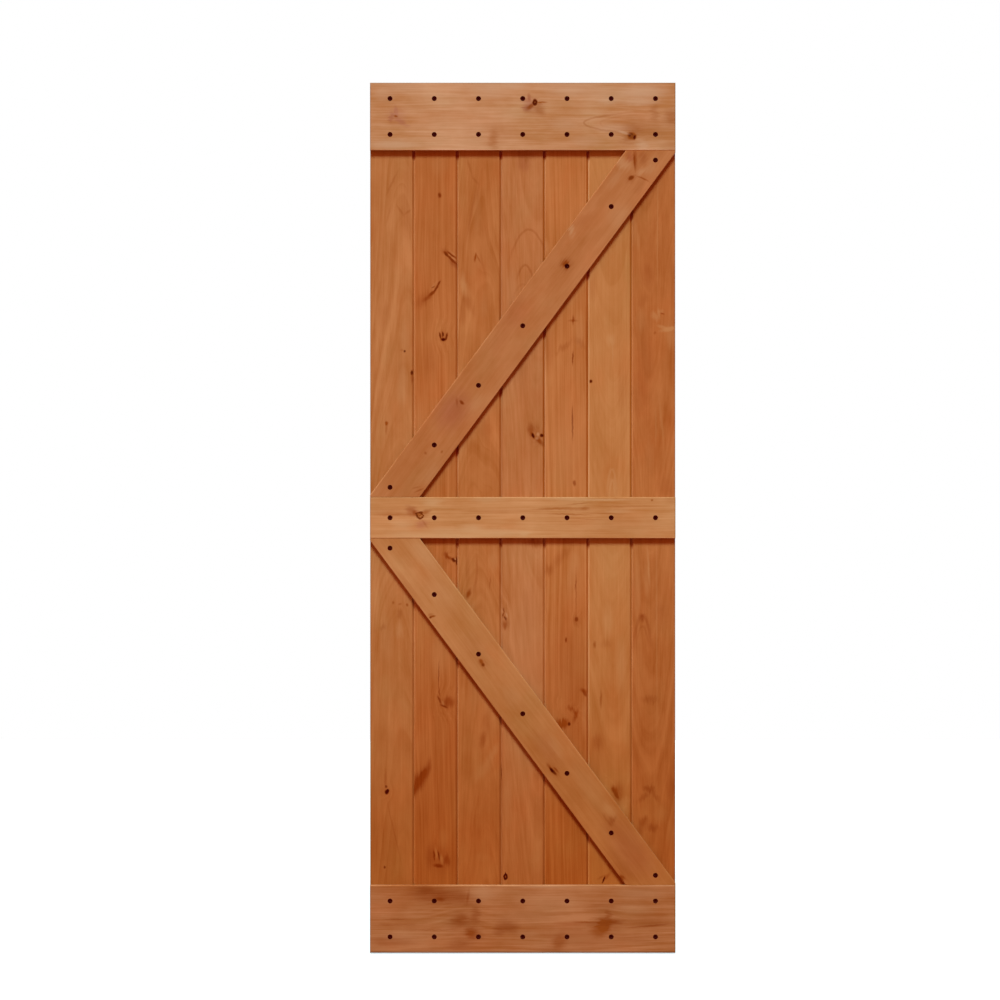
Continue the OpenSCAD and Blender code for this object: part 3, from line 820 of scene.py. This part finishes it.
rails["bottom_rail"] = Board(
    seed=48.1, stain=screen(168, 101, 61), pith=(-0.2, 0.08), rings=80, taper=2.0, wobble=7.0,
    bands=0.6, lines=0.32, streaks=0.75, fibre=1.1, clouds=1.5, foot=0.0, edges=(1.0, 0.5),
    marks=[
        Mark(-0.232, 0.144, 0.042, 0.022, 6, brown=0.55),
        Mark(-0.238, 0.154, 0.018, 0.01, brown=0.2),
        Mark(-0.203, 0.13, 0.012, 0.006, brown=0.4),
        Mark(-0.172, 0.139, 0.042, 0.022, brown=0.55),
        Mark(-0.1335, 0.141, 0.0035, 0.02, 8, brown=0.35),
        Mark(-0.1, 0.146, 0.03, 0.018, pale=0.4),
        Mark(-0.152, 0.086, 0.026, 0.02, 20, brown=0.3, bend=0.8),
        Mark(-0.147, 0.087, 0.014, 0.01, 20, brown=0.15),
        Mark(-0.1155, 0.094, 0.012, 0.02, brown=0.5),
        Mark(-0.163, 0.071, 0.022, 0.014, -20, brown=0.25),
        Mark(-0.127, 0.049, 0.014, 0.014, 20, brown=0.42),
        Mark(-0.12, 0.044, 0.024, 0.018, 20, brown=0.35),
        Mark(-0.155, 0.02, 0.03, 0.014, brown=0.5),
        Mark(-0.036, 0.065, 0.028, 0.016, 15, brown=0.55),
        Mark(-0.06, 0.052, 0.014, 0.012, brown=0.45),
        Mark(-0.286, 0.042, 0.07, 0.016, pale=0.25),
        Mark(-0.31, 0.0826, 0.03, 0.0015, brown=0.5),
        Mark(-0.3, 0.0685, 0.07, 0.0015, brown=0.35),
        Mark(-0.22, 0.056, 0.07, 0.0015, brown=0.4),
        Mark(-0.21, 0.008, 0.07, 0.005, brown=0.15),
        Mark(0.02, 0.088, 0.08, 0.018, pale=0.18),
        Mark(0.2, 0.07, 0.016, 0.017, brown=0.75, bend=0.8),
        Mark(0.198, 0.068, 0.01, 0.012, brown=0.5),
        Mark(0.226, 0.0755, 0.022, 0.006, brown=0.6),
        Mark(0.212, 0.092, 0.008, 0.014, -25, brown=0.45),
        Mark(0.16, 0.0755, 0.035, 0.002, brown=0.5),
        Mark(0.205, 0.072, 0.045, 0.028, brown=0.35),
        Mark(0.089, 0.027, 0.016, 0.022, 20, brown=0.45),
        Mark(0.31, 0.066, 0.06, 0.0025, -5, brown=0.5),
        Mark(0.312, 0.075, 0.055, 0.02, brown=0.25),
        Mark(0.06, 0.125, 0.08, 0.02, pale=0.2),
        Mark(0.184, 0.053, 0.018, 0.018, brown=0.4),
        Mark(0.15, 0.038, 0.095, 0.032, brown=0.42),
        Mark(0.067, 0.01, 0.04, 0.012, brown=0.25),
        Mark(0.29, 0.036, 0.05, 0.014, brown=0.25),
        Mark(-0.32, 0.028, 0.06, 0.014, brown=0.5),
        Mark(-0.148, 0.065, 0.045, 0.034, brown=0.3),
        Mark(-0.13, 0.128, 0.026, 0.018, brown=0.3),
        Mark(0.205, 0.115, 0.05, 0.014, brown=0.25),
        Mark(0.132, 0.072, 0.045, 0.006, brown=0.35),
        Mark(0.015, 0.045, 0.03, 0.012, pale=0.25),
        Mark(0.275, 0.108, 0.05, 0.014, pale=0.3),
        Mark(0.285, 0.144, 0.06, 0.016, pale=0.4),
        Mark(0.06, 0.162, 0.07, 0.004, pale=0.5),
    ])
for name, board in rails.items():
    low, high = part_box(name)
    wood(name, ACROSS, board, arris_masks(name, (high.z - low.z) / 2, board.edges))

# Braces
# Two boards of the middle rail's width cross the panels and make a K with it, cut flush at both ends.
# Each lies on the planks and is fixed with one screw to every plank that it crosses.
braces = {}
braces["upper_brace"] = Board(
    seed=63.3, stain=screen(178, 108, 64), pith=(0.1, 0.06), rings=80, taper=2.0, wobble=4.0,
    bands=0.1, lines=0.0, streaks=0.18, fibre=0.39, clouds=1.2, foot=0.0, edges=(0.3, 0.3),
    marks=[
        Mark(0.2655, 1.901, 0.008, 0.005, 20, dark=0.5, brown=0.9),
        Mark(0.2655, 1.898, 0.014, 0.01, 20, brown=0.35),
        Mark(0.2755, 1.945, 0.024, 0.005, -38, brown=0.7),
        Mark(0.274, 1.938, 0.024, 0.002, -40, dark=0.1, brown=0.4),
        Mark(0.264, 1.952, 0.014, 0.008, -38, pink=0.8),
        Mark(0.294, 1.899, 0.017, 0.0022, 78, brown=0.8),
        Mark(0.248, 1.935, 0.022, 0.014, -86, pale=0.65),
        Mark(0.292, 1.917, 0.015, 0.007, 21, pale=0.6),
        Mark(0.295, 1.949, 0.016, 0.01, -38, brown=0.25, pink=0.3),
        Mark(0.32, 1.945, 0.02, 0.012, pale=0.2),
        Mark(0.229, 1.9, 0.03, 0.01, pale=0.35),
        Mark(0.287, 1.879, 0.02, 0.012, brown=0.25),
        Mark(-0.056, 1.5, 0.03, 0.02, brown=0.2),
        Mark(-0.222, 1.178, 0.03, 0.012, pale=0.25),
        Mark(0.312, 1.92, 0.016, 0.01, pale=0.4),
        Mark(0.238, 1.808, 0.032, 0.022, pale=0.42),
        Mark(0.12, 1.77, 0.014, 0.006, -20, pale=0.75),
        Mark(0.155, 1.8, 0.03, 0.012, 20, brown=0.15),
        Mark(0.107, 1.687, 0.018, 0.017, brown=0.45),
        Mark(0.099, 1.692, 0.01, 0.008, brown=0.45),
        Mark(0.107, 1.6855, 0.009, 0.009, dark=0.15, brown=0.4),
        Mark(-0.02, 1.57, 0.05, 0.03, pink=0.3),
        Mark(-0.172, 1.33, 0.05, 0.038, pink=0.9),
        Mark(-0.149, 1.35, 0.004, 0.007, dark=0.2, brown=1.0),
        Mark(-0.162, 1.351, 0.003, 0.012, 50, brown=0.5),
        Mark(-0.115, 1.345, 0.026, 0.014, pale=0.3),
        Mark(-0.238, 1.225, 0.003, 0.004, brown=0.6),
        Mark(-0.199, 1.229, 0.004, 0.003, brown=0.7),
        Mark(-0.254, 1.134, 0.012, 0.002, 30, brown=0.6),
        Mark(-0.262, 1.141, 0.01, 0.002, 40, brown=0.4),
    ])
braces["lower_brace"] = Board(
    seed=66.6, stain=screen(184, 118, 71), pith=(-0.1, 0.06), rings=80, taper=2.0, wobble=4.0,
    bands=0.12, lines=0.0, streaks=0.2, fibre=0.39, clouds=1.2, foot=0.85, edges=(0.12, 0.16),
    marks=[
        Mark(-0.2215, 0.8245, 0.003, 0.008, 16, dark=0.25, brown=0.8),
        Mark(-0.226, 0.8225, 0.003, 0.003, dark=0.35, brown=0.3),
        Mark(-0.226, 0.829, 0.004, 0.007, 16, brown=0.4),
        Mark(-0.1025, 0.7145, 0.007, 0.005, dark=0.1, brown=0.6),
        Mark(-0.097, 0.7065, 0.005, 0.004, dark=0.55, brown=0.4),
        Mark(-0.098, 0.709, 0.014, 0.01, brown=0.35),
        Mark(0.0735, 0.4455, 0.014, 0.0042, -6, dark=0.75, brown=0.5),
        Mark(0.0715, 0.4475, 0.006, 0.003, -6, dark=0.5),
        Mark(0.082, 0.4485, 0.01, 0.0025, -8, brown=0.7),
        Mark(0.0635, 0.459, 0.008, 0.004, brown=0.5),
        Mark(0.074, 0.446, 0.022, 0.012, brown=0.25),
        Mark(0.218, 0.322, 0.01, 0.008, 40, brown=0.5),
        Mark(0.226, 0.33, 0.01, 0.004, 60, brown=0.35),
        Mark(0.203, 0.33, 0.014, 0.003, 5, brown=0.3),
        Mark(0.243, 0.184, 0.01, 0.008, dark=0.15, brown=0.6),
        Mark(0.25, 0.192, 0.03, 0.024, brown=0.28),
        Mark(0.265, 0.25, 0.09, 0.042, pink=0.7),
        Mark(0.06, 0.5, 0.05, 0.024, pink=0.35),
        Mark(-0.2, 0.88, 0.06, 0.024, pale=0.2),
        Mark(-0.24, 0.972, 0.05, 0.018, pale=0.35),
        Mark(-0.285, 0.905, 0.05, 0.012, brown=0.25),
        Mark(-0.115, 0.745, 0.045, 0.028, brown=0.2),
        Mark(-0.026, 0.628, 0.03, 0.02, pale=0.25),
        Mark(0.084, 0.505, 0.03, 0.014, pale=0.25),
        Mark(0.222, 0.235, 0.04, 0.012, brown=0.25),
        Mark(0.16, 0.405, 0.07, 0.02, pale=0.3),
        Mark(0.213, 0.35, 0.024, 0.014, pale=0.45),
    ])
for name, board in braces.items():
    wood(name, leans[name], board, arris_masks(name, BRACE_WIDTH / 2, board.edges))

# Screws
# Countersunk wood screws of black phosphated steel, driven a little below the face of the boards.
# The coating is matt, with a brown cast from the stain that was wiped over it.
COATING_NOISE = Noise(900.0, 900.0, 0.0, 3.0)
COATING_SEED = 3.0
COATING_BLACK = screen(50, 2, 0)
COATING_BROWN = screen(70, 6, 2)
COATING_ROUGHNESS = 0.45
COATING_ROUGHNESS_SPREAD = 0.2
screw_steel = bpy.data.materials.new("screw_steel")
screw_steel.use_nodes = True
screw_tree = screw_steel.node_tree
screw_shader = screw_tree.nodes["Principled BSDF"]
screw_place = Field(screw_tree.nodes.new("ShaderNodeTexCoord").outputs["Object"])
coating = screw_place.noise(COATING_NOISE, COATING_SEED)[0]
coating_colour = coating.between(COATING_BLACK, COATING_BROWN)
coating_rough = COATING_ROUGHNESS + coating * COATING_ROUGHNESS_SPREAD
screw_tree.links.new(coating_colour.socket, screw_shader.inputs["Base Color"])
screw_tree.links.new(coating_rough.socket, screw_shader.inputs["Roughness"])
screw_shader.inputs["Specular IOR Level"].default_value = DULL_SPECULAR
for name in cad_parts:
    if name.endswith("_screws"):
        dress(name, screw_steel)

# Floor and backdrop
# A plain pale floor under the door and a white sheet behind it, in a room with warm dim walls.
# Both show white to the eye, and light the wood only a little.
FLOOR_GREY = (0.5, 0.5, 0.5, 1.0)
FLOOR_ROUGHNESS = 0.9
FLOOR_LIGHT = (0.46, 0.17, 0.06, 1.0)
FLOOR_GLOW = 0.32
FLOOR_REACH = 8.0
FLOOR_DROP = 0.003
floor_mesh = bpy.data.meshes.new("floor")
floor_corners = [(-1, -1), (1, -1), (1, 1), (-1, 1)]
floor_points = [(x * FLOOR_REACH, y * FLOOR_REACH, -FLOOR_DROP) for x, y in floor_corners]
floor_mesh.from_pydata(floor_points, [], [(0, 1, 2, 3)])
floor = bpy.data.objects.new("floor", floor_mesh)
bpy.context.scene.collection.objects.link(floor)
floor_white = bpy.data.materials.new("floor_white")
floor_white.use_nodes = True
floor_tree = floor_white.node_tree
floor_shader = floor_tree.nodes["Principled BSDF"]
floor_shader.inputs["Base Color"].default_value = FLOOR_GREY
floor_shader.inputs["Roughness"].default_value = FLOOR_ROUGHNESS
floor_shader.inputs["Specular IOR Level"].default_value = 0.0
floor_paths = floor_tree.nodes.new("ShaderNodeLightPath")
floor_seen = Field(floor_paths.outputs["Is Camera Ray"]) + Field(floor_paths.outputs["Is Glossy Ray"])
floor_seen = floor_seen + Field(floor_paths.outputs["Is Transmission Ray"])
glow = floor_seen.node("Emission", {}, {"Strength": FLOOR_GLOW})[0]
shown = glow.node("AddShader", {}, {0: Field(floor_shader.outputs[0]), 1: glow})[0]
warm = glow.node("Emission", {}, {"Color": FLOOR_LIGHT, "Strength": 1.0})[0]
floor_surface = glow.node("MixShader", {}, {0: floor_seen, 1: warm, 2: shown})[0]
floor_tree.links.new(floor_surface.socket, floor_tree.nodes["Material Output"].inputs["Surface"])
floor_mesh.materials.append(floor_white)

ROOM_LIGHT = (0.45, 0.16, 0.055)
BACKDROP_WHITE = (1.0, 1.0, 1.0)
BACKDROP_FADE = (-0.1, 0.2)
room = bpy.data.worlds.new("room")
bpy.context.scene.world = room
room.use_nodes = True
room_tree = room.node_tree
room_paths = room_tree.nodes.new("ShaderNodeLightPath")
toward = Field(room_tree.nodes.new("ShaderNodeTexCoord").outputs["Generated"])
backdrop = toward.parts()[1].fade(*BACKDROP_FADE)
room_seen = Field(room_paths.outputs["Is Camera Ray"]) + Field(room_paths.outputs["Is Transmission Ray"])
room_seen = room_seen + Field(room_paths.outputs["Is Glossy Ray"]) * backdrop
room_colour = room_seen.between(ROOM_LIGHT, BACKDROP_WHITE)
room_tree.links.new(room_colour.socket, room_tree.nodes["Background"].inputs["Color"])
room_tree.nodes["Background"].inputs["Strength"].default_value = 1.0


# Lights
# A soft lamp high in front, a weak warm one low on the left, and two behind for the sides and the back.
# They are set so that wood seen from the front shows about the colour that it is given.
def lamp(name, azimuth, elevation, softness, strength, colour, shadows=True):
    """A far lamp at an azimuth from the front towards +X and at an elevation, both in degrees."""
    data = bpy.data.lights.new(name, "SUN")
    data.energy = strength
    data.color = colour
    data.angle = math.radians(softness)
    data.use_shadow = shadows
    made = bpy.data.objects.new(name, data)
    made.rotation_euler = (math.radians(90 - elevation), 0.0, math.radians(azimuth))
    bpy.context.scene.collection.objects.link(made)


KEY_COLOUR = (0.598, 0.957, 1.0)
FILL_COLOUR = (1.0, 0.6, 0.35)
BACK_COLOUR = (0.65, 0.95, 1.0)
lamp("key", azimuth=0, elevation=48, softness=17, strength=3.876, colour=KEY_COLOUR)
lamp("left_fill", azimuth=-62, elevation=15, softness=50, strength=0.34, colour=FILL_COLOUR)
for name, azimuth in (("back_left", -130), ("back_right", 130)):
    lamp(name, azimuth, elevation=35, softness=40, strength=2.6, colour=BACK_COLOUR, shadows=False)

# Camera
# The photograph looks straight at the front of the door from far off.
# The picture is square, and the door stands a little right of its middle.
FRAME_WIDTH = 2.4523
SENSOR_WIDTH = 36.0
CAMERA_DISTANCE = 9.0
CAMERA_X = -0.0558
CAMERA_Z = 1.1105
camera_data = bpy.data.cameras.new("camera")
camera_data.sensor_width = SENSOR_WIDTH
camera_data.lens = SENSOR_WIDTH * CAMERA_DISTANCE / FRAME_WIDTH
camera = bpy.data.objects.new("camera", camera_data)
camera.location = (CAMERA_X, cad_box[0].y - CAMERA_DISTANCE, CAMERA_Z)
camera.rotation_euler = (math.radians(90), 0.0, 0.0)
bpy.context.scene.collection.objects.link(camera)
bpy.context.scene.camera = camera
bpy.context.scene.view_settings.view_transform = "Standard"
